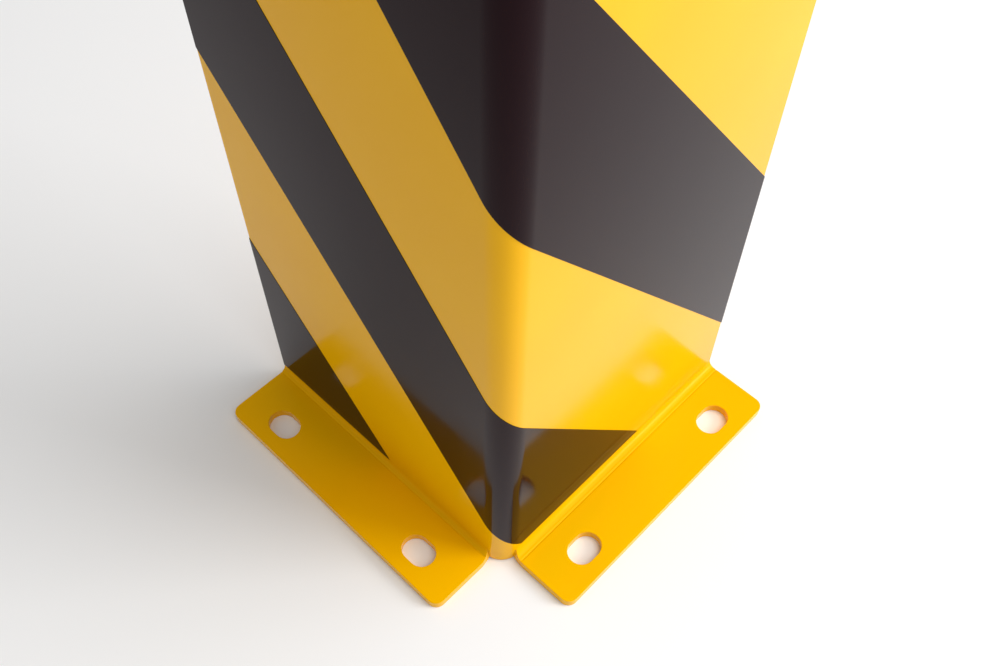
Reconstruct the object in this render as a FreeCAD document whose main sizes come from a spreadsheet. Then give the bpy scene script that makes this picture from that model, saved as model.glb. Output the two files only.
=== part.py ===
import FreeCAD, Part
import math
import os
import re

import Sketcher

# Corner guard: a folded steel angle with two slotted feet, and strips of black film on its walls.
#
# Frame, in millimetres: +Z up, the feet on z = 0, the origin under the middle of the guard's box.
# The front wall faces -Y, the side wall faces +X, and the corner between them points to +X -Y.
# Each sub-part is modelled about the axis of the corner bend and then placed. In those model
# coordinates the front wall runs along -X from x = 0 and the side wall along +Y from y = 0.

SIZES = {
    "guard_height": 400.0,
    "leg_length": 160.0,         # from the corner's outer faces to a wall's free edge
    "plate_thickness": 5.0,
    "corner_radius": 11.5,       # outside of the bend between the walls
    "wall_corner_radius": 5.0,   # top free corner of a wall
    "foot_reach": 36.5,          # from a wall's outer face to its foot's outer edge
    "foot_start": 7.5,           # from the corner's outer faces to a foot's near end
    "foot_bend_radius": 4.0,     # inside of the bend between a wall and its foot
    "foot_corner_radius": 5.0,
    "relief_width": 0.3,         # fine cut that frees a foot from the corner
    "relief_rise": 0.5,          # how far that cut runs up past the foot bend
    "corner_gap": 0.5,           # corner's lower edge above the floor
    "slot_length": 18.0,
    "slot_width": 13.5,
    "slot_near": 34.0,           # from the corner's outer faces to the first slot's centre
    "slot_far": 26.0,            # from a wall's free edge to the last slot's centre
    "slot_offset": 22.3,         # from a wall's outer face to its slots' centre line
    "film_thickness": 0.2,
    "film_gap": 0.5,             # between the foot bend and the film's lower edge
    "strip_slope": 1.275,        # rise over run of a film strip's edge
    # Each strip's lower edge above the floor, at the middle of the corner, and its upright height.
    # The strips differ a little from each other in both.
    "first_strip_start": -196.9,
    "first_strip_height": 110.0,
    "second_strip_start": 23.2,
    "second_strip_height": 109.8,
    "third_strip_start": 244.4,
    "third_strip_height": 108.0,
    "fourth_strip_start": 462.4,
    "fourth_strip_height": 110.0,
}
STRIP_NAMES = ("first", "second", "third", "fourth")
SLOTS_PER_FOOT = 2
MARGIN = 2.0                     # how far a cutting solid stands past what it cuts
TOLERANCE = 1e-4

WALL_RUN = "(leg_length - corner_radius)"
FOOT_EDGE = "(corner_radius + foot_reach)"
# A foot ends short of where its relief cut would meet the other foot's cut inside the plate.
FOOT_START = "min(corner_radius - foot_start; (corner_radius - plate_thickness) / sqrt(2) - relief_width)"
RELIEF_END = f"({FOOT_START} + relief_width)"
PAST_CORNER = f"(corner_radius + {MARGIN})"
INNER_RADIUS = "(corner_radius - plate_thickness)"
FOOT_BEND_TOP = "(plate_thickness + foot_bend_radius)"
FILM_BOTTOM = f"({FOOT_BEND_TOP} + film_gap)"
FILM_RADIUS = "(corner_radius + film_thickness)"
PLACE = "((leg_length - foot_reach) / 2 - corner_radius)"

doc = FreeCAD.newDocument("corner_guard")
sheet = doc.addObject("Spreadsheet::Sheet", "sizes")
for row, (alias, size) in enumerate(SIZES.items(), start=1):
    sheet.set(f"A{row}", alias)
    sheet.set(f"B{row}", str(size))
    sheet.setAlias(f"B{row}", alias)
doc.recompute()


def formula(text):
    """Turn a formula of size names into an expression on the sheet."""
    def on_sheet(word):
        return "sizes." + word.group() if word.group() in SIZES else word.group()
    return re.sub(r"[a-z_]+", on_sheet, text)


def bind(thing, formulas):
    """Tie each property path to its formula."""
    for path, text in formulas.items():
        thing.setExpression(path, formula(text))


def place(part):
    """Move a finished sub-part from the bend's axis to its place in the guard's frame."""
    bind(part, {"Placement.Base.x": PLACE, "Placement.Base.y": "-" + PLACE})


def new_body(name):
    """Add an empty body."""
    body = doc.addObject("PartDesign::Body", name)
    body.Label = name
    return body


def origin_feature(body, role):
    """Return the body's own origin plane or axis that has this role."""
    return next(item for item in body.Origin.OriginFeatures if item.Role == role)


def new_sketch(body, name, plane):
    """Add a sketch on one of the body's origin planes."""
    sketch = body.newObject("Sketcher::SketchObject", name)
    sketch.AttachmentSupport = (origin_feature(body, plane), [""])
    sketch.MapMode = "FlatFace"
    return sketch


def constrain(sketch, text, *constraint):
    """Add a dimension to the sketch and tie it to a formula."""
    index = sketch.addConstraint(Sketcher.Constraint(*constraint))
    bind(sketch, {f"Constraints[{index}]": text})


def draw_polygon(sketch, corners):
    """Draw a closed outline whose corners are pairs of formulas."""
    first = sketch.GeometryCount
    count = len(corners)
    turns = [2 * math.pi * step / count for step in range(count)]
    ring = [FreeCAD.Vector(math.cos(turn), math.sin(turn), 0) for turn in turns]
    for here, there in zip(ring, ring[1:] + ring[:1]):
        sketch.addGeometry(Part.LineSegment(here, there), False)
    for step, (across, up) in enumerate(corners):
        line = first + step
        following = first + (step + 1) % count
        sketch.addConstraint(Sketcher.Constraint("Coincident", line, 2, following, 1))
        constrain(sketch, across, "DistanceX", -1, 1, line, 1, ring[step].x)
        constrain(sketch, up, "DistanceY", -1, 1, line, 1, ring[step].y)


def draw_slot(sketch):
    """Draw a slot about the sketch's origin, its length along the sketch's first axis."""
    half = SIZES["slot_width"] / 2
    run = SIZES["slot_length"] / 2 - half
    up = FreeCAD.Vector(0, 0, 1)
    right = Part.Circle(FreeCAD.Vector(run, 0, 0), up, half)
    left = Part.Circle(FreeCAD.Vector(-run, 0, 0), up, half)
    top = Part.LineSegment(FreeCAD.Vector(run, half, 0), FreeCAD.Vector(-run, half, 0))
    bottom = Part.LineSegment(FreeCAD.Vector(-run, -half, 0), FreeCAD.Vector(run, -half, 0))
    outline = [
        Part.ArcOfCircle(right, -math.pi / 2, math.pi / 2),
        top,
        Part.ArcOfCircle(left, math.pi / 2, 3 * math.pi / 2),
        bottom,
    ]
    for edge in outline:
        sketch.addGeometry(edge, False)
    for edge in range(len(outline)):
        following = (edge + 1) % len(outline)
        sketch.addConstraint(Sketcher.Constraint("Tangent", edge, 2, following, 1))
    sketch.addConstraint(Sketcher.Constraint("Equal", 0, 2))
    constrain(sketch, "slot_width / 2", "Radius", 0, half)
    for arc, sign in ((0, ""), (2, "-")):
        sketch.addConstraint(Sketcher.Constraint("PointOnObject", arc, 3, -1))
        reach = f"{sign}(slot_length - slot_width) / 2"
        constrain(sketch, reach, "DistanceX", -1, 1, arc, 3, run if arc == 0 else -run)


def pad(body, sketch, name, length):
    """Extrude a sketch along its normal."""
    feature = body.newObject("PartDesign::Pad", name)
    feature.Profile = sketch
    bind(feature, {"Length": length})
    return feature


def pocket(body, sketch, name, length):
    """Cut a sketch of the floor plane upwards, and check that one smaller solid is left."""
    doc.recompute()
    before = body.Tip.Shape.Volume
    feature = body.newObject("PartDesign::Pocket", name)
    feature.Profile = sketch
    feature.Reversed = True
    bind(feature, {"Length": length})
    doc.recompute()
    if len(feature.Shape.Solids) != 1 or not TOLERANCE < feature.Shape.Volume < before - TOLERANCE:
        raise RuntimeError(f"{name} does not leave one smaller solid")
    return feature


def edges_at(shape, places):
    """Name the straight edges whose two ends lie at one of the places, given as axis values."""
    names = []
    for index, edge in enumerate(shape.Edges, start=1):
        ends = [vertex.Point for vertex in edge.Vertexes]
        for spot in places:
            held = all(abs(getattr(end, axis) - at) < TOLERANCE for end in ends for axis, at in spot.items())
            if len(ends) == 2 and held:
                names.append(f"Edge{index}")
    return names


def fillet(body, name, places, radius):
    """Round the edges at the places, and check that each place has one edge."""
    doc.recompute()
    names = edges_at(body.Tip.Shape, places)
    if len(names) != len(places):
        raise RuntimeError(f"{name} found {len(names)} edges for {len(places)} places")
    base = body.Tip
    feature = body.newObject("PartDesign::Fillet", name)
    feature.Base = (base, names)
    bind(feature, {"Radius": radius})
    doc.recompute()
    if len(feature.Shape.Solids) != 1 or not feature.Shape.isValid():
        raise RuntimeError(f"{name} does not leave one valid solid")
    return feature


# Places of edges in model coordinates, as plain numbers.
outer = SIZES["corner_radius"]
inner = outer - SIZES["plate_thickness"]
wall_end = SIZES["leg_length"] - outer
foot_edge = outer + SIZES["foot_reach"]
foot_start = min(outer - SIZES["foot_start"], inner / math.sqrt(2) - SIZES["relief_width"])
plate = SIZES["plate_thickness"]
height = SIZES["guard_height"]

# ---------------------------------------------------------------- the folded sheet
guard = new_body("corner_guard")

wall_plan = new_sketch(guard, "wall_plan", "XY_Plane")
draw_polygon(wall_plan, [
    ("corner_radius", "-corner_radius"),
    ("corner_radius", WALL_RUN),
    (INNER_RADIUS, WALL_RUN),
    (INNER_RADIUS, "-" + INNER_RADIUS),
    ("-" + WALL_RUN, "-" + INNER_RADIUS),
    ("-" + WALL_RUN, "-corner_radius"),
])
pad(guard, wall_plan, "walls", "guard_height")
fillet(guard, "corner_outside", [{"x": outer, "y": -outer}], "corner_radius")
fillet(guard, "corner_inside", [{"x": inner, "y": -inner}], INNER_RADIUS)

feet_plan = new_sketch(guard, "feet_plan", "XY_Plane")
draw_polygon(feet_plan, [
    (FOOT_START, "-" + INNER_RADIUS),
    ("-" + WALL_RUN, "-" + INNER_RADIUS),
    ("-" + WALL_RUN, "-" + FOOT_EDGE),
    (FOOT_START, "-" + FOOT_EDGE),
])
draw_polygon(feet_plan, [
    (INNER_RADIUS, "-" + FOOT_START),
    (FOOT_EDGE, "-" + FOOT_START),
    (FOOT_EDGE, WALL_RUN),
    (INNER_RADIUS, WALL_RUN),
])
pad(guard, feet_plan, "feet", "plate_thickness")

relief_plan = new_sketch(guard, "relief_plan", "XY_Plane")
draw_polygon(relief_plan, [
    (FOOT_START, "0"),
    (FOOT_START, "-" + PAST_CORNER),
    (RELIEF_END, "-" + PAST_CORNER),
    (RELIEF_END, "0"),
])
draw_polygon(relief_plan, [
    ("0", "-" + FOOT_START),
    ("0", "-" + RELIEF_END),
    (PAST_CORNER, "-" + RELIEF_END),
    (PAST_CORNER, "-" + FOOT_START),
])
pocket(guard, relief_plan, "relief_cuts", f"{FOOT_BEND_TOP} + relief_rise")

gap_plan = new_sketch(guard, "gap_plan", "XY_Plane")
draw_polygon(gap_plan, [
    (FOOT_START, "-" + FOOT_START),
    (FOOT_START, "-" + PAST_CORNER),
    (PAST_CORNER, "-" + PAST_CORNER),
    (PAST_CORNER, "-" + FOOT_START),
])
pocket(guard, gap_plan, "corner_clearance", "corner_gap")

fillet(guard, "foot_bend_inside", [{"y": -outer, "z": plate}, {"x": outer, "z": plate}], "foot_bend_radius")
fillet(guard, "foot_bend_outside", [{"y": -inner, "z": 0}, {"x": inner, "z": 0}], FOOT_BEND_TOP)
fillet(
    guard,
    "foot_corners",
    [
        {"x": -wall_end, "y": -foot_edge},
        {"x": foot_start, "y": -foot_edge},
        {"x": foot_edge, "y": wall_end},
        {"x": foot_edge, "y": -foot_start},
    ],
    "foot_corner_radius",
)
wall_tops = [{"x": -wall_end, "z": height}, {"y": wall_end, "z": height}]
fillet(guard, "wall_top_corners", wall_tops, "wall_corner_radius")

# Each foot's slots start near the corner and step away from it, along the sketch's first axis.
SLOT_ROWS = {
    "front": (180, "-(slot_near - corner_radius)", "-(corner_radius + slot_offset)"),
    "side": (90, "corner_radius + slot_offset", "slot_near - corner_radius"),
}
for foot, (turn, across, along) in SLOT_ROWS.items():
    slot_plan = new_sketch(guard, f"{foot}_slot_plan", "XY_Plane")
    spin = FreeCAD.Rotation(FreeCAD.Vector(0, 0, 1), turn)
    slot_plan.AttachmentOffset = FreeCAD.Placement(FreeCAD.Vector(), spin)
    bind(slot_plan, {"AttachmentOffset.Base.x": across, "AttachmentOffset.Base.y": along})
    draw_slot(slot_plan)
    first_slot = pocket(guard, slot_plan, f"{foot}_slot", "plate_thickness")
    row_of_slots = guard.newObject("PartDesign::LinearPattern", f"{foot}_slots")
    row_of_slots.Originals = [first_slot]
    row_of_slots.Direction = (slot_plan, ["H_Axis"])
    row_of_slots.Occurrences = SLOTS_PER_FOOT
    bind(row_of_slots, {"Length": "leg_length - slot_near - slot_far"})
    guard.Tip = row_of_slots
    doc.recompute()
place(guard)

# ---------------------------------------------------------------- the film
# The field is the thin skin of the walls that film may cover; each strip is the part of it inside
# a slanting band, which is straight across each wall and a quarter turn of a helix round the bend.
field = new_body("film_field")
field_plan = new_sketch(field, "field_plan", "XY_Plane")
bind(field_plan, {"AttachmentOffset.Base.z": FILM_BOTTOM})
draw_polygon(field_plan, [
    (FILM_RADIUS, "-" + FILM_RADIUS),
    (FILM_RADIUS, WALL_RUN),
    ("corner_radius", WALL_RUN),
    ("corner_radius", "-corner_radius"),
    ("-" + WALL_RUN, "-corner_radius"),
    ("-" + WALL_RUN, "-" + FILM_RADIUS),
])
pad(field, field_plan, "skin", f"guard_height - {FILM_BOTTOM}")
film_outer = outer + SIZES["film_thickness"]
fillet(field, "skin_inside", [{"x": outer, "y": -outer}], "corner_radius")
fillet(field, "skin_outside", [{"x": film_outer, "y": -film_outer}], FILM_RADIUS)
fillet(field, "skin_top_corners", wall_tops, "wall_corner_radius")


def slanting_band(number, start, rise):
    """Build a band of this upright rise, its lower edge at this start at the middle of the corner."""
    band = new_body(f"band_{number}")
    run = f"({WALL_RUN} + {MARGIN})"
    near = f"(corner_radius - {MARGIN})"
    bend_drop = f"(strip_slope * corner_radius * {math.pi / 4})"
    front_low = f"({start} + {bend_drop})"
    side_low = f"({start} - {bend_drop})"

    front_plan = new_sketch(band, f"band_{number}_front_plan", "XZ_Plane")
    draw_polygon(front_plan, [
        ("0", front_low),
        ("0", f"{front_low} + {rise}"),
        (f"-{run}", f"{front_low} + {rise} + strip_slope * {run}"),
        (f"-{run}", f"{front_low} + strip_slope * {run}"),
    ])
    pad(band, front_plan, f"band_{number}_front", PAST_CORNER)

    bend_plan = new_sketch(band, f"band_{number}_bend_plan", "YZ_Plane")
    draw_polygon(bend_plan, [
        ("-" + PAST_CORNER, front_low),
        (f"-{near}", front_low),
        (f"-{near}", f"{front_low} + {rise}"),
        ("-" + PAST_CORNER, f"{front_low} + {rise}"),
    ])
    bend = band.newObject("PartDesign::AdditiveHelix", f"band_{number}_bend")
    bend.Profile = bend_plan
    bend.ReferenceAxis = (origin_feature(band, "Z_Axis"), [""])
    bend.Mode = "pitch-height-angle"
    bend.LeftHanded = True
    bend.Reversed = True
    bind(bend, {
        "Pitch": f"strip_slope * corner_radius * {2 * math.pi}",
        "Height": f"strip_slope * corner_radius * {math.pi / 2}",
    })

    side_plan = new_sketch(band, f"band_{number}_side_plan", "YZ_Plane")
    draw_polygon(side_plan, [
        ("0", side_low),
        (run, f"{side_low} - strip_slope * {run}"),
        (run, f"{side_low} + {rise} - strip_slope * {run}"),
        ("0", f"{side_low} + {rise}"),
    ])
    pad(band, side_plan, f"band_{number}_side", PAST_CORNER)
    return band


strips = []
for number, name in enumerate(STRIP_NAMES, start=1):
    strip = doc.addObject("Part::Common", f"film_strip_{number}")
    strip.Label = f"film_strip_{number}"
    strip.Base = field
    strip.Tool = slanting_band(number, f"{name}_strip_start", f"{name}_strip_height")
    place(strip)
    strips.append(strip)

# ---------------------------------------------------------------- check and write
doc.recompute()
for item in doc.Objects:
    if {"Invalid", "Error"} & set(item.State):
        raise RuntimeError(f"{item.Name} failed: {item.State}")

os.makedirs("parts", exist_ok=True)
for part in [guard] + strips:
    shape = part.Shape
    if shape.isNull() or not shape.isValid() or len(shape.Solids) != 1:
        raise RuntimeError(f"{part.Label} is not one valid solid")
    shape.exportStep(os.path.join("parts", f"{part.Label}.step"))
    box = shape.BoundBox
    sides = f"{box.XLength:.2f} x {box.YLength:.2f} x {box.ZLength:.2f} mm"
    print(f"{part.Label}: {shape.Volume:.1f} mm3, {sides}")
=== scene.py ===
"""Looks of a folded steel corner guard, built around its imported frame.

The guard is one sheet of steel, bent at the corner and again at both feet, powder coated yellow,
with strips of black vinyl film laid round its walls. The sheet is built the way it is made: as a
skin that is bent, trimmed and slotted, and then given its thickness.
"""

import logging
import math
from dataclasses import dataclass, field
from enum import Enum

import bmesh
import bpy
from mathutils import Matrix, Vector


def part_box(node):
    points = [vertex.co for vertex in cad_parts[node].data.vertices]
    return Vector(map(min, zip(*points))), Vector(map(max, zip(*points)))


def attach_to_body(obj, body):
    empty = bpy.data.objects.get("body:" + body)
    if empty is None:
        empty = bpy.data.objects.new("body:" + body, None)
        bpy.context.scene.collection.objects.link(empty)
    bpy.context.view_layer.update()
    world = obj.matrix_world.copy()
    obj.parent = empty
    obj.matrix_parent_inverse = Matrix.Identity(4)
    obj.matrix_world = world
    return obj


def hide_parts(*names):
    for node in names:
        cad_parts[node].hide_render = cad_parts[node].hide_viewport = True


MM = 0.001
QUARTER = math.pi / 2
WELD = 0.002 * MM
SHARP_RIM = math.radians(50)
log = logging.getLogger("corner_guard")
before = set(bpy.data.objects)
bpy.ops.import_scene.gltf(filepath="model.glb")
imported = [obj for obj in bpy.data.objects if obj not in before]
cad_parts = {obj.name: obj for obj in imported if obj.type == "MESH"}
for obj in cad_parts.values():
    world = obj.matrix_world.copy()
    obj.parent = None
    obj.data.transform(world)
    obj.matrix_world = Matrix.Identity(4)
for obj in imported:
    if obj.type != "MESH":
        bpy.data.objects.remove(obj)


class Foot(Enum):
    """The two feet, named for the wall that each one turns out from."""

    FRONT = "front"
    SIDE = "side"


# ------------------------------------------------------------------ small helpers


def linear(hex_colour: str) -> tuple[float, float, float, float]:
    """Turn an sRGB hex colour into linear values.

    Args:
        hex_colour: Six hex digits, with or without a leading #.

    Returns:
        Red, green, blue and an alpha of 1.
    """
    digits = hex_colour.lstrip("#")
    parts = [int(digits[at:at + 2], 16) / 255 for at in (0, 2, 4)]
    red, green, blue = (v / 12.92 if v <= 0.04045 else ((v + 0.055) / 1.055) ** 2.4 for v in parts)
    return red, green, blue, 1.0


def add_node(tree: bpy.types.NodeTree, kind: str, links: dict | None = None, **settings) -> bpy.types.Node:
    """Add one node with its settings and what feeds it.

    Args:
        tree: The node tree to add to.
        kind: The node's type name.
        links: Input names or numbers, each with the output socket or plain value that it takes.
        **settings: Properties of the node itself.

    Returns:
        The new node.
    """
    node = tree.nodes.new(kind)
    for name, value in settings.items():
        setattr(node, name, value)
    for name, source in (links or {}).items():
        if isinstance(source, bpy.types.NodeSocket):
            tree.links.new(source, node.inputs[name])
        else:
            node.inputs[name].default_value = source
    return node


def smooth_step(value: float) -> float:
    """Ease a value from 0 to 1, level at both ends."""
    value = min(max(value, 0.0), 1.0)
    return value * value * (3 - 2 * value)


def object_from(mesh: bmesh.types.BMesh, name: str) -> bpy.types.Object:
    """Turn a finished bmesh into an object at the origin.

    Args:
        mesh: The bmesh, in the frame's own place. It is freed.
        name: The piece's name.

    Returns:
        The new object, smooth shaded.
    """
    data = bpy.data.meshes.new(name)
    mesh.to_mesh(data)
    mesh.free()
    piece = bpy.data.objects.new(name, data)
    bpy.context.scene.collection.objects.link(piece)
    data.shade_smooth()
    return piece


def finish_rims(piece: bpy.types.Object, width: float, segments: int) -> None:
    """Round the sharp rims of a piece and keep its flats flat.

    Args:
        piece: The piece to finish.
        width: Width of the rounding, in metres.
        segments: Facets across the rounding.
    """
    bevel = piece.modifiers.new("rims", "BEVEL")
    bevel.width = width
    bevel.segments = segments
    bevel.limit_method = "ANGLE"
    bevel.angle_limit = SHARP_RIM
    bevel.miter_outer = "MITER_ARC"
    bevel.harden_normals = True


def face_outwards(mesh: bmesh.types.BMesh, axis: Vector) -> None:
    """Turn a skin so that its faces look away from the corner's axis.

    Args:
        mesh: The skin, before it has any thickness.
        axis: A point on the axis of the corner bend.
    """
    bmesh.ops.recalc_face_normals(mesh, faces=mesh.faces)
    largest = max(mesh.faces, key=lambda face: face.calc_area())
    outside = largest.calc_center_median() - axis
    if largest.normal.dot(Vector((outside.x, outside.y, 0))) < 0:
        bmesh.ops.reverse_faces(mesh, faces=mesh.faces)


class Pen:
    """Draws a chain of edges in a mesh, straight or round, one operator at a time."""

    def __init__(self, mesh: bmesh.types.BMesh, start: bmesh.types.BMVert) -> None:
        """Put the pen down on a vertex."""
        self.mesh = mesh
        self.tip = start

    def line(self, point: Vector) -> "Pen":
        """Draw a straight run to a point."""
        made = bmesh.ops.extrude_vert_indiv(self.mesh, verts=[self.tip])
        self.tip = made["verts"][0]
        self.tip.co = point
        return self

    def arc(self, centre: Vector, angle: float, steps: int) -> "Pen":
        """Draw a round run about an upright axis.

        Args:
            centre: Centre of the arc.
            angle: Turn in radians, anticlockwise from above.
            steps: Straight pieces in the arc.

        Returns:
            The pen itself.
        """
        made = bmesh.ops.spin(
            self.mesh, geom=[self.tip], cent=centre, axis=(0, 0, 1), dvec=(0, 0, 0),
            angle=angle, steps=steps, use_merge=False, use_duplicate=False,
        )
        self.tip = next(item for item in made["geom_last"] if isinstance(item, bmesh.types.BMVert))
        return self


# ------------------------------------------------------------------ materials


@dataclass(frozen=True)
class PowderCoat:
    """Polyester powder coat, sprayed dry on steel and baked: a thick, glossy, evenly coloured skin.

    The eye sees a deep yellow with a clear, slightly wavy gloss, where the melt has levelled into
    shallow orange peel.
    """

    colour: str = "#F7B900"
    shade: str = "#F4B400"
    roughness: float = 0.16
    peel_mm: float = 2.4
    peel_depth: float = 0.012 * MM
    ripple_mm: float = 0.5
    ripple_depth: float = 0.003 * MM
    mottle_mm: float = 60.0
    ior: float = 1.5
    # Kept low, since the walls mirror the pale floor at a shallow angle and would bleach.
    specular_level: float = 0.2
    specular_tint: str = "#FFD56A"

    def build(self) -> bpy.types.Material:
        """Make the material.

        Returns:
            The powder coat.
        """
        material = bpy.data.materials.new("yellow_polyester_powder_coat")
        material.use_nodes = True
        tree = material.node_tree
        shader = tree.nodes["Principled BSDF"]
        place = add_node(tree, "ShaderNodeTexCoord").outputs["Object"]
        # The film builds a little thicker in places, which deepens the colour by a hair.
        mottle = add_node(tree, "ShaderNodeTexNoise", {
            "Vector": place, "Scale": 1 / (self.mottle_mm * MM), "Detail": 2.0, "Roughness": 0.5,
        })
        depth = add_node(tree, "ShaderNodeMapRange", {
            "Value": mottle.outputs["Fac"], "From Min": 0.3, "From Max": 0.7,
        })
        colour = add_node(tree, "ShaderNodeMix", {
            "Factor": depth.outputs["Result"], "A": linear(self.shade), "B": linear(self.colour),
        }, data_type="RGBA")
        tree.links.new(colour.outputs["Result"], shader.inputs["Base Color"])
        # Orange peel is about 2 mm from crest to crest and a few microns deep.
        peel = add_node(tree, "ShaderNodeTexNoise", {
            "Vector": place, "Scale": 1 / (self.peel_mm * MM), "Detail": 1.0, "Roughness": 0.4,
        })
        ripple = add_node(tree, "ShaderNodeTexNoise", {
            "Vector": place, "Scale": 1 / (self.ripple_mm * MM), "Detail": 1.0, "Roughness": 0.5,
        })
        wave = add_node(tree, "ShaderNodeBump", {
            "Height": peel.outputs["Fac"], "Strength": 0.55, "Distance": self.peel_depth,
        })
        grain = add_node(tree, "ShaderNodeBump", {
            "Height": ripple.outputs["Fac"], "Strength": 0.35, "Distance": self.ripple_depth,
            "Normal": wave.outputs["Normal"],
        })
        tree.links.new(grain.outputs["Normal"], shader.inputs["Normal"])
        gloss = add_node(tree, "ShaderNodeMapRange", {
            "Value": ripple.outputs["Fac"], "From Min": 0.3, "From Max": 0.7,
            "To Min": self.roughness - 0.03, "To Max": self.roughness + 0.04,
        })
        tree.links.new(gloss.outputs["Result"], shader.inputs["Roughness"])
        shader.inputs["IOR"].default_value = self.ior
        shader.inputs["Specular IOR Level"].default_value = self.specular_level
        shader.inputs["Specular Tint"].default_value = linear(self.specular_tint)
        return material


@dataclass(frozen=True)
class VinylFilm:
    """Cast black vinyl film with a pressure-sensitive back: thin, glossy and very slightly wavy.

    The eye sees a warm near-black that mirrors what stands in front of it, softened by the peel
    of the paint beneath, which prints through.
    """

    colour: str = "#180A0E"
    roughness: float = 0.10
    print_through_mm: float = 2.8
    print_through_depth: float = 0.010 * MM
    wave_mm: float = 22.0
    wave_depth: float = 0.05 * MM
    ior: float = 1.46
    # Kept low for the same reason as the paint's: the film would turn grey.
    specular_level: float = 0.12
    specular_tint: str = "#FFC2CE"

    def build(self) -> bpy.types.Material:
        """Make the material.

        Returns:
            The film.
        """
        material = bpy.data.materials.new("black_cast_vinyl_film")
        material.use_nodes = True
        tree = material.node_tree
        shader = tree.nodes["Principled BSDF"]
        place = add_node(tree, "ShaderNodeTexCoord").outputs["Object"]
        shader.inputs["Base Color"].default_value = linear(self.colour)
        peel = add_node(tree, "ShaderNodeTexNoise", {
            "Vector": place, "Scale": 1 / (self.print_through_mm * MM), "Detail": 1.5, "Roughness": 0.45,
        })
        wave = add_node(tree, "ShaderNodeTexNoise", {
            "Vector": place, "Scale": 1 / (self.wave_mm * MM), "Detail": 1.0, "Roughness": 0.4,
        })
        broad = add_node(tree, "ShaderNodeBump", {
            "Height": wave.outputs["Fac"], "Strength": 0.5, "Distance": self.wave_depth,
        })
        fine = add_node(tree, "ShaderNodeBump", {
            "Height": peel.outputs["Fac"], "Strength": 0.5, "Distance": self.print_through_depth,
            "Normal": broad.outputs["Normal"],
        })
        tree.links.new(fine.outputs["Normal"], shader.inputs["Normal"])
        gloss = add_node(tree, "ShaderNodeMapRange", {
            "Value": wave.outputs["Fac"], "From Min": 0.3, "From Max": 0.7,
            "To Min": self.roughness - 0.02, "To Max": self.roughness + 0.03,
        })
        tree.links.new(gloss.outputs["Result"], shader.inputs["Roughness"])
        shader.inputs["IOR"].default_value = self.ior
        shader.inputs["Specular IOR Level"].default_value = self.specular_level
        shader.inputs["Specular Tint"].default_value = linear(self.specular_tint)
        return material


# ------------------------------------------------------------------ the guard


@dataclass
class CornerPlan:
    """Where the guard's bend and walls lie in plan, worked out from the frame.

    Distances run along the outer skin: negative on the front wall, positive on the side wall, and
    zero at the middle of the corner bend.
    """

    low: Vector
    high: Vector
    foot_reach: float = 36.5 * MM
    corner_radius: float = 11.5 * MM
    plate: float = 5.0 * MM
    foot_bend_radius: float = 4.0 * MM
    wall_corner_radius: float = 5.0 * MM

    @property
    def apex(self) -> Vector:
        """Where the two outer faces would meet if the corner were sharp."""
        return Vector((self.high.x - self.foot_reach, self.low.y + self.foot_reach, 0))

    @property
    def axis(self) -> Vector:
        """Axis of the corner bend."""
        return self.apex + Vector((-self.corner_radius, self.corner_radius, 0))

    @property
    def wall_run(self) -> float:
        """Length of a wall's flat, from its free edge to the bend."""
        return self.axis.x - self.low.x

    @property
    def half_bend(self) -> float:
        """Half the length of the bend, along the outer skin."""
        return self.corner_radius * QUARTER / 2

    @property
    def foot_bend_top(self) -> float:
        """Height at which a wall starts to turn out into its foot."""
        return self.plate + self.foot_bend_radius

    @property
    def height(self) -> float:
        """Full height of the guard."""
        return self.high.z

    def wrap(self, along: float, height: float, proud: float = 0.0) -> Vector:
        """Find a point on the bent sheet.

        Args:
            along: Distance along the outer skin from the middle of the bend.
            height: Height above the floor.
            proud: How far outside the skin the point lies.

        Returns:
            The point in the frame.
        """
        radius = self.corner_radius + proud
        if along < -self.half_bend:
            return Vector((self.axis.x + along + self.half_bend, self.axis.y - radius, height))
        if along > self.half_bend:
            return Vector((self.axis.x + radius, self.axis.y + along - self.half_bend, height))
        turn = (along + self.half_bend) / self.corner_radius
        return self.axis + Vector((radius * math.sin(turn), -radius * math.cos(turn), height))


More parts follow.
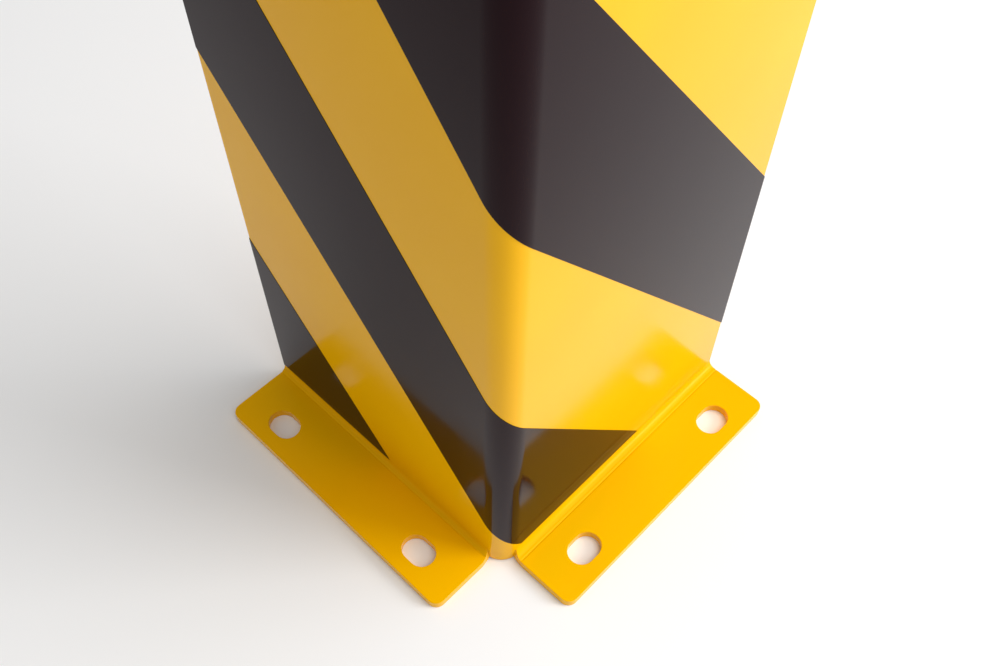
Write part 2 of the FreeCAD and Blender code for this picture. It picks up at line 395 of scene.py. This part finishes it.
@dataclass
class FoldedSheet:
    """The steel sheet: two walls, two slotted feet and the corner between them."""

    plan: CornerPlan
    foot_start: float = 7.5 * MM
    # A foot's near end is cut back at its root by a small rounded notch.
    notch_depth: float = 2.4 * MM
    notch_length: float = 6.0 * MM
    foot_corner_radius: float = 5.0 * MM
    corner_gap: float = 0.5 * MM
    slot_length: float = 18.0 * MM
    slot_width: float = 13.5 * MM
    slot_near: float = 34.0 * MM
    slot_far: float = 26.0 * MM
    slot_offset: float = 22.3 * MM
    crease_depth: float = 0.3 * MM
    crease_width: float = 1.3 * MM
    # Distance from each wall's face to the middle of the mark that the bending tool left.
    crease_at: dict[Foot, float] = field(
        default_factory=lambda: {Foot.FRONT: 2.7 * MM, Foot.SIDE: 5.0 * MM}
    )
    # How far up the walls, and over what share of the tongue's half width, the bend is drawn out.
    drawn_height: float = 14.0 * MM
    drawn_share: float = 0.6
    rim_radius: float = 0.28 * MM
    rim_segments: int = 4
    rim_band: float = 0.9 * MM
    shortest_edge: float = 0.12 * MM
    bend_steps: int = 18
    foot_bend_steps: int = 24
    flat_steps: int = 12
    flat_run: float = 3.0 * MM
    arc_steps: int = 10
    slot_steps: int = 16
    tongue_rows: int = 4
    root_rises: tuple[float, ...] = (0.0, 3 * MM, 6 * MM, 10 * MM, 14 * MM)

    def build(self) -> bpy.types.Object:
        """Build the whole sheet.

        Returns:
            The sheet as one closed piece.
        """
        mesh = bmesh.new()
        for foot in Foot:
            self.add_foot(mesh, foot)
        self.add_walls(mesh)
        bmesh.ops.remove_doubles(mesh, verts=mesh.verts, dist=WELD)
        face_outwards(mesh, self.plan.axis)
        self.thicken(mesh)
        piece = object_from(mesh, "folded_sheet")
        finish_rims(piece, self.rim_radius, self.rim_segments)
        return piece

    def column_places(self) -> list[float]:
        """Places of the upright rows of the bend: its two edges, and the tongue between the feet.

        The rows stand wider apart than the rims are rounded, on the inner face too.
        """
        end = self.end_place()
        step = -2 * end / self.bend_steps
        tongue = [end + step * count for count in range(self.bend_steps + 1)]
        return [-self.plan.half_bend, *tongue, self.plan.half_bend]

    def end_place(self) -> float:
        """Place of the root of the front foot's near end along the skin, as a negative distance."""
        plan = self.plan
        root = self.foot_start + self.notch_depth
        turn = math.asin((plan.corner_radius - root) / plan.corner_radius)
        return plan.corner_radius * turn - plan.half_bend

    def root_point(self, along: float, height: float) -> Vector:
        """Find a point of the wall near its foot, where the sheet is drawn out of the corner bend.

        Args:
            along: Distance along the outer skin.
            height: Height above the floor.

        Returns:
            The point in the frame.
        """
        plan = self.plan
        point = plan.wrap(along, height)
        end = abs(self.end_place())
        fade = 1 - smooth_step((height - plan.foot_bend_top) / self.drawn_height)
        inwards = (end - abs(along)) / (end * self.drawn_share)
        reach = 1 - smooth_step(inwards) if abs(along) < end else 1.0
        if height < plan.foot_bend_top:
            fade = smooth_step(height / plan.foot_bend_top)
        if abs(along) < plan.half_bend:
            outer = plan.axis.y - plan.corner_radius if along < 0 else plan.axis.x + plan.corner_radius
            if along < 0:
                point.y += (outer - point.y) * fade * reach
            else:
                point.x += (outer - point.x) * fade * reach
        return point

    def add_walls(self, mesh: bmesh.types.BMesh) -> None:
        """Add the walls, and the tongue that is left between the two feet."""
        plan = self.plan
        end = abs(self.end_place())
        limit = plan.half_bend + plan.wall_run
        bend = self.column_places()
        root_rows = [plan.foot_bend_top + rise for rise in self.root_rises]
        self.bend_grid(mesh, [-limit, *bend, limit], [*root_rows, plan.height])
        rows = range(self.tongue_rows + 1)
        drop = (plan.foot_bend_top - self.corner_gap) / self.tongue_rows
        tongue = [at for at in bend if abs(at) <= end + WELD]
        self.bend_grid(mesh, tongue, [self.corner_gap + drop * row for row in rows])
        tops = [vert for vert in mesh.verts
                if abs(vert.co.z - plan.height) < WELD and len(vert.link_edges) == 2]
        bmesh.ops.bevel(
            mesh, geom=tops, offset=plan.wall_corner_radius, offset_type="OFFSET",
            affect="VERTICES", segments=self.arc_steps, profile=0.5, material=-1,
        )

    def bend_grid(self, mesh: bmesh.types.BMesh, places: list[float], heights: list[float]) -> None:
        """Add a grid and bend it to the sheet's skin.

        Args:
            mesh: The mesh to add to.
            places: Place of each column along the outer skin.
            heights: Height of each row.
        """
        across, up = len(places) - 1, len(heights) - 1
        made = bmesh.ops.create_grid(mesh, x_segments=across, y_segments=up, size=0.5)
        for vert in made["verts"]:
            column, row = round((vert.co.x + 0.5) * across), round((vert.co.y + 0.5) * up)
            vert.co = self.root_point(places[column], heights[row])

    def foot_matrix(self, foot: Foot) -> Matrix:
        """Matrix from a foot's own axes to the frame.

        In a foot's own axes, x runs from the corner's outer faces along the wall to its free edge,
        y runs out from the wall, and z is up.
        """
        plan = self.plan
        along, out = (Vector((-1, 0, 0)), Vector((0, -1, 0)))
        if foot is Foot.SIDE:
            along, out = Vector((0, 1, 0)), Vector((1, 0, 0))
        matrix = Matrix.Identity(4)
        for row in range(3):
            matrix[row][0], matrix[row][1] = along[row], out[row]
            matrix[row][3] = plan.apex[row]
        return matrix

    def add_foot(self, mesh: bmesh.types.BMesh, foot: Foot) -> None:
        """Add one foot: its bend, its flat and its slots.

        Args:
            mesh: The mesh to add to.
            foot: Which foot.
        """
        plan = self.plan
        leg = plan.wall_run + plan.corner_radius
        radius = plan.foot_bend_radius
        part = bmesh.new()
        places = [self.along_wall(at) for at in self.column_places() if at <= self.end_place() + WELD]
        root = [part.verts.new((at, 0, plan.foot_bend_top)) for at in [leg, *places]]
        row = [part.edges.new(pair) for pair in zip(root, root[1:])]
        made = bmesh.ops.spin(
            part, geom=row, cent=(0, radius, plan.foot_bend_top), axis=(1, 0, 0), dvec=(0, 0, 0),
            angle=QUARTER, steps=self.foot_bend_steps, use_merge=False, use_duplicate=False,
        )
        row = [item for item in made["geom_last"] if isinstance(item, bmesh.types.BMEdge)]
        for _ in range(self.flat_steps):
            made = bmesh.ops.extrude_edge_only(part, edges=row)
            moved = [item for item in made["geom"] if isinstance(item, bmesh.types.BMVert)]
            bmesh.ops.translate(part, verts=moved, vec=(0, self.flat_run / self.flat_steps, 0))
            row = [item for item in made["geom"] if isinstance(item, bmesh.types.BMEdge)
                   and all(vert in moved for vert in item.verts)]
        self.round_notch(part)
        self.fill_flat(part, row, leg)
        part.transform(self.foot_matrix(foot))
        data = bpy.data.meshes.new("foot")
        part.to_mesh(data)
        part.free()
        mesh.from_mesh(data)
        bpy.data.meshes.remove(data)

    def along_wall(self, at: float) -> float:
        """Distance from the corner's outer faces to a place on the front half of the skin."""
        return self.plan.apex.x - self.plan.wrap(at, 0).x

    def round_notch(self, part: bmesh.types.BMesh) -> None:
        """Curve a foot's near end out from the notch at its root.

        Args:
            part: The foot, in its own axes, before its flat is filled.
        """
        root = self.foot_start + self.notch_depth
        for vert in part.verts:
            if vert.co.x < root + WELD:
                left = max(1 - vert.co.y / self.notch_length, 0.0)
                vert.co.x = self.foot_start + self.notch_depth * left * left

    def press_crease(self, mesh: bmesh.types.BMesh, foot: Foot) -> None:
        """Press the bending tool's shallow mark into the upper face of a foot's bend.

        Args:
            mesh: The sheet, with its full thickness.
            foot: Which foot.
        """
        plan = self.plan
        radius, half = plan.foot_bend_radius, self.crease_width / 2
        to_frame = self.foot_matrix(foot)
        to_foot = to_frame.inverted()
        for vert in mesh.verts:
            place = to_foot @ vert.co
            share = (place.y - self.crease_at[foot]) / half
            from_axis = math.hypot(place.y - radius, place.z - plan.foot_bend_top)
            upper = place.z > plan.plate - WELD and (place.y > radius or from_axis < radius + WELD)
            if abs(share) >= 1 or not upper or place.z > plan.foot_bend_top:
                continue
            depth = self.crease_depth * (1 - share * share) ** 2
            down = Vector((0, 0, -1))
            if place.y < radius:
                down = Vector((0, place.y - radius, place.z - plan.foot_bend_top)).normalized()
            vert.co = to_frame @ (place + down * depth)

    def fill_flat(self, part: bmesh.types.BMesh, row: list[bmesh.types.BMEdge], leg: float) -> None:
        """Fill a foot's flat from its last bent row to its outer edge, round its slots.

        Args:
            part: The foot, in its own axes.
            row: Edges of the last row.
            leg: Distance from the corner's outer faces to the free edge.
        """
        plan = self.plan
        round_off = self.foot_corner_radius
        level = plan.plate
        ends = sorted({vert for edge in row for vert in edge.verts}, key=lambda vert: vert.co.x)
        near, far = ends[0], ends[-1]
        reach = plan.foot_reach
        outline = Pen(part, near)
        outline.line(Vector((self.foot_start, reach - round_off, level)))
        outline.arc(Vector((self.foot_start + round_off, reach - round_off, level)), -QUARTER, self.arc_steps)
        outline.line(Vector((leg - round_off, reach, level)))
        outline.arc(Vector((leg - round_off, reach - round_off, level)), -QUARTER, self.arc_steps)
        outline.line(far.co.copy())
        for middle in (self.slot_near, leg - self.slot_far):
            self.draw_slot(part, Vector((middle, self.slot_offset, level)))
        # Merging can remake an edge, so the outlines are picked up afterwards by where they lie.
        bmesh.ops.remove_doubles(part, verts=part.verts, dist=WELD)
        bent_end = plan.foot_bend_radius + self.flat_run
        edges = [edge for edge in part.edges if len(edge.link_faces) < 2
                 and all(vert.co.y > bent_end - WELD for vert in edge.verts)]
        made = bmesh.ops.triangle_fill(part, use_beauty=True, use_dissolve=False, edges=edges)
        flat = [item for item in made["geom"] if isinstance(item, bmesh.types.BMFace)]
        # A narrow band round the flat gives its rims square faces to be rounded into.
        bmesh.ops.inset_region(
            part, faces=flat, thickness=self.rim_band, use_boundary=True, use_even_offset=True,
        )

    def draw_slot(self, part: bmesh.types.BMesh, middle: Vector) -> None:
        """Draw the outline of one slot.

        Args:
            part: The foot, in its own axes.
            middle: Middle of the slot.
        """
        half = self.slot_width / 2
        run = Vector((self.slot_length / 2 - half, 0, 0))
        start = part.verts.new(middle + run + Vector((0, -half, 0)))
        pen = Pen(part, start)
        pen.arc(middle + run, math.pi, self.slot_steps)
        pen.line(middle - run + Vector((0, half, 0)))
        pen.arc(middle - run, math.pi, self.slot_steps)
        pen.line(start.co.copy())

    def thicken(self, mesh: bmesh.types.BMesh) -> None:
        """Give the skin the plate's thickness, inwards, and mark its foot bends.

        Args:
            mesh: The skin, facing outwards.
        """
        bmesh.ops.solidify(mesh, geom=mesh.faces[:], thickness=self.plan.plate)
        for foot in Foot:
            self.press_crease(mesh, foot)
        # Crowded vertices at the corner's root would keep every rim from being rounded.
        bmesh.ops.remove_doubles(mesh, verts=mesh.verts, dist=self.shortest_edge)


@dataclass
class FilmStrip:
    """One strip of film, cut straight and laid on a slant round the walls."""

    plan: CornerPlan
    number: int
    start: float
    rise: float
    slope: float = 1.275
    thickness: float = 0.2 * MM
    bottom_gap: float = 0.5 * MM
    column_width: float = 0.75 * MM
    # The strip's underside stands clear of the paint by this much.
    base: float = 0.01 * MM
    shortest_edge: float = 0.12 * MM
    corner_steps: int = 8
    rim_radius: float = 0.05 * MM
    rim_segments: int = 2

    def build(self) -> bpy.types.Object:
        """Build the strip.

        Returns:
            The strip as one closed piece.
        """
        plan = self.plan
        limit = plan.half_bend + plan.wall_run
        bottom = plan.foot_bend_top + self.bottom_gap
        mesh = bmesh.new()
        columns = round(2 * limit / self.column_width)
        bmesh.ops.create_grid(mesh, x_segments=columns, y_segments=1, size=0.5)
        # The strip is cut flat, with x along the skin and y up, and wrapped afterwards.
        for vert in mesh.verts:
            vert.co.x *= 2 * limit
            vert.co.y = bottom if vert.co.y < 0 else plan.height
        self.trim(mesh, self.start, 1)
        self.trim(mesh, self.start + self.rise, -1)
        bmesh.ops.remove_doubles(mesh, verts=mesh.verts, dist=self.shortest_edge)
        self.round_top(mesh, limit)
        for vert in mesh.verts:
            vert.co = plan.wrap(vert.co.x, vert.co.y, self.base)
        face_outwards(mesh, plan.axis)
        bmesh.ops.solidify(mesh, geom=mesh.faces[:], thickness=-self.thickness + self.base)
        bmesh.ops.recalc_face_normals(mesh, faces=mesh.faces)
        piece = object_from(mesh, f"film_strip_{self.number}_laid")
        finish_rims(piece, self.rim_radius, self.rim_segments)
        return piece

    def trim(self, mesh: bmesh.types.BMesh, height: float, keep_side: int) -> None:
        """Cut the flat strip along one of its slanting edges.

        Args:
            mesh: The flat strip.
            height: The edge's height at the middle of the corner.
            keep_side: 1 keeps what is above the edge, -1 what is below.
        """
        normal = Vector((self.slope, 1, 0)).normalized() * keep_side
        bmesh.ops.bisect_plane(
            mesh, geom=mesh.verts[:] + mesh.edges[:] + mesh.faces[:], dist=WELD / 10,
            plane_co=(0, height, 0), plane_no=normal, clear_inner=True, clear_outer=False,
        )

    def round_top(self, mesh: bmesh.types.BMesh, limit: float) -> None:
        """Round the strip where it reaches a wall's top free corner.

        Args:
            mesh: The flat strip.
            limit: Distance from the middle of the corner to a wall's free edge.
        """
        plan = self.plan
        tops = [vert for vert in mesh.verts
                if abs(abs(vert.co.x) - limit) < WELD and abs(vert.co.y - plan.height) < WELD]
        for top in tops:
            bmesh.ops.bevel(
                mesh, geom=[top], offset=plan.wall_corner_radius, offset_type="OFFSET",
                affect="VERTICES", segments=self.corner_steps, profile=0.5, material=-1,
                clamp_overlap=True,
            )


# ------------------------------------------------------------------ the studio


@dataclass(frozen=True)
class SoftLight:
    """One square soft light, in metres and watts."""

    name: str
    place: tuple[float, float, float]
    target: tuple[float, float, float]
    size: float
    power: float


@dataclass
class Studio:
    """A plain pale floor, soft lights and the camera."""

    floor_size: float = 24.0
    floor_gap: float = 0.1 * MM
    floor_colour: str = "#F4F4F4"
    floor_roughness: float = 0.9
    floor_specular_level: float = 0.2
    room_colour: str = "#FFFFFF"
    room_strength: float = 0.40
    lights: tuple[SoftLight, ...] = (
        SoftLight("softbox", (0.72, 0.42, 1.9), (0, 0, 0.1), 1.6, 27),
        SoftLight("side_panel", (1.3, 0.9, 0.8), (0, 0, 0.15), 0.7, 17),
    )
    lens: float = 39.84
    sensor: float = 36.0
    eye: Vector = field(default_factory=lambda: Vector((204.09, -216.08, 501.0)) * MM)
    heading: float = math.radians(133.34)
    pitch: float = math.radians(55.2)
    roll: float = math.radians(0.76)
    nearest: float = 0.01

    def build(self) -> None:
        """Set up the floor, the light and the camera."""
        scene = bpy.context.scene
        scene.view_settings.view_transform = "Standard"
        scene.view_settings.look = "None"
        self.add_floor()
        self.add_world()
        for light in self.lights:
            self.add_light(light)
        self.add_camera()

    def add_floor(self) -> None:
        """Add the floor, a matt white sheet set just under the guard."""
        mesh = bmesh.new()
        bmesh.ops.create_grid(mesh, x_segments=1, y_segments=1, size=self.floor_size / 2)
        bmesh.ops.translate(mesh, verts=mesh.verts, vec=(0, 0, -self.floor_gap))
        floor = object_from(mesh, "studio_floor")
        material = bpy.data.materials.new("matt_white_paper")
        material.use_nodes = True
        shader = material.node_tree.nodes["Principled BSDF"]
        shader.inputs["Base Color"].default_value = linear(self.floor_colour)
        shader.inputs["Roughness"].default_value = self.floor_roughness
        shader.inputs["Specular IOR Level"].default_value = self.floor_specular_level
        floor.data.materials.append(material)

    def add_world(self) -> None:
        """Light everything evenly from a white room."""
        world = bpy.data.worlds.new("white_room")
        world.use_nodes = True
        background = world.node_tree.nodes["Background"]
        background.inputs["Color"].default_value = linear(self.room_colour)
        background.inputs["Strength"].default_value = self.room_strength
        bpy.context.scene.world = world

    def add_light(self, light: SoftLight) -> None:
        """Hang a soft light and turn it to what it faces.

        Args:
            light: The light to hang.
        """
        data = bpy.data.lights.new(light.name, "AREA")
        data.size = light.size
        data.energy = light.power
        place = Vector(light.place)
        lamp = bpy.data.objects.new(light.name, data)
        lamp.location = place
        lamp.rotation_euler = (Vector(light.target) - place).to_track_quat("-Z", "Y").to_euler()
        bpy.context.scene.collection.objects.link(lamp)

    def add_camera(self) -> None:
        """Add the camera, looking down on the corner."""
        level = math.cos(self.pitch)
        ahead = Vector((
            math.cos(self.heading) * level, math.sin(self.heading) * level, -math.sin(self.pitch),
        ))
        right = ahead.cross(Vector((0, 0, 1))).normalized()
        up = right.cross(ahead)
        turned_right = right * math.cos(self.roll) + up * math.sin(self.roll)
        turned_up = up * math.cos(self.roll) - right * math.sin(self.roll)
        data = bpy.data.cameras.new("camera")
        data.lens = self.lens
        data.sensor_width = self.sensor
        data.clip_start = self.nearest
        camera = bpy.data.objects.new("camera", data)
        matrix = Matrix((turned_right, turned_up, -ahead)).transposed().to_4x4()
        matrix.translation = self.eye
        camera.matrix_world = matrix
        bpy.context.scene.collection.objects.link(camera)
        bpy.context.scene.camera = camera


# ------------------------------------------------------------------ put it together

# Each strip's lower edge above the floor at the middle of the corner, and its upright height.
STRIPS = (
    (-196.9, 110.0),
    (23.2, 109.8),
    (244.4, 108.0),
    (462.4, 110.0),
)


def attach(piece: bpy.types.Object, material: bpy.types.Material, node: str) -> None:
    """Dress a piece, hang it on the guard's body and let it stand for its CAD node.

    Args:
        piece: The finished piece.
        material: Its finish.
        node: The CAD node that it stands for.
    """
    piece.data.materials.append(material)
    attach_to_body(piece, "root")
    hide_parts(node)
    log.info("%s: %d faces, stands for %s", piece.name, len(piece.data.polygons), node)


def main() -> None:
    """Build the guard and its studio."""
    logging.basicConfig(level=logging.INFO, format="%(name)s: %(message)s")
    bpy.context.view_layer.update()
    log.info("the frame has %d nodes", len(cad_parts))
    low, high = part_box("corner_guard")
    plan = CornerPlan(low=low, high=high)
    paint, film = PowderCoat().build(), VinylFilm().build()
    attach(FoldedSheet(plan).build(), paint, "corner_guard")
    for number, (start, rise) in enumerate(STRIPS, start=1):
        strip = FilmStrip(plan, number, start * MM, rise * MM).build()
        attach(strip, film, f"film_strip_{number}")
    Studio().build()


if __name__ == "__main__":
    main()
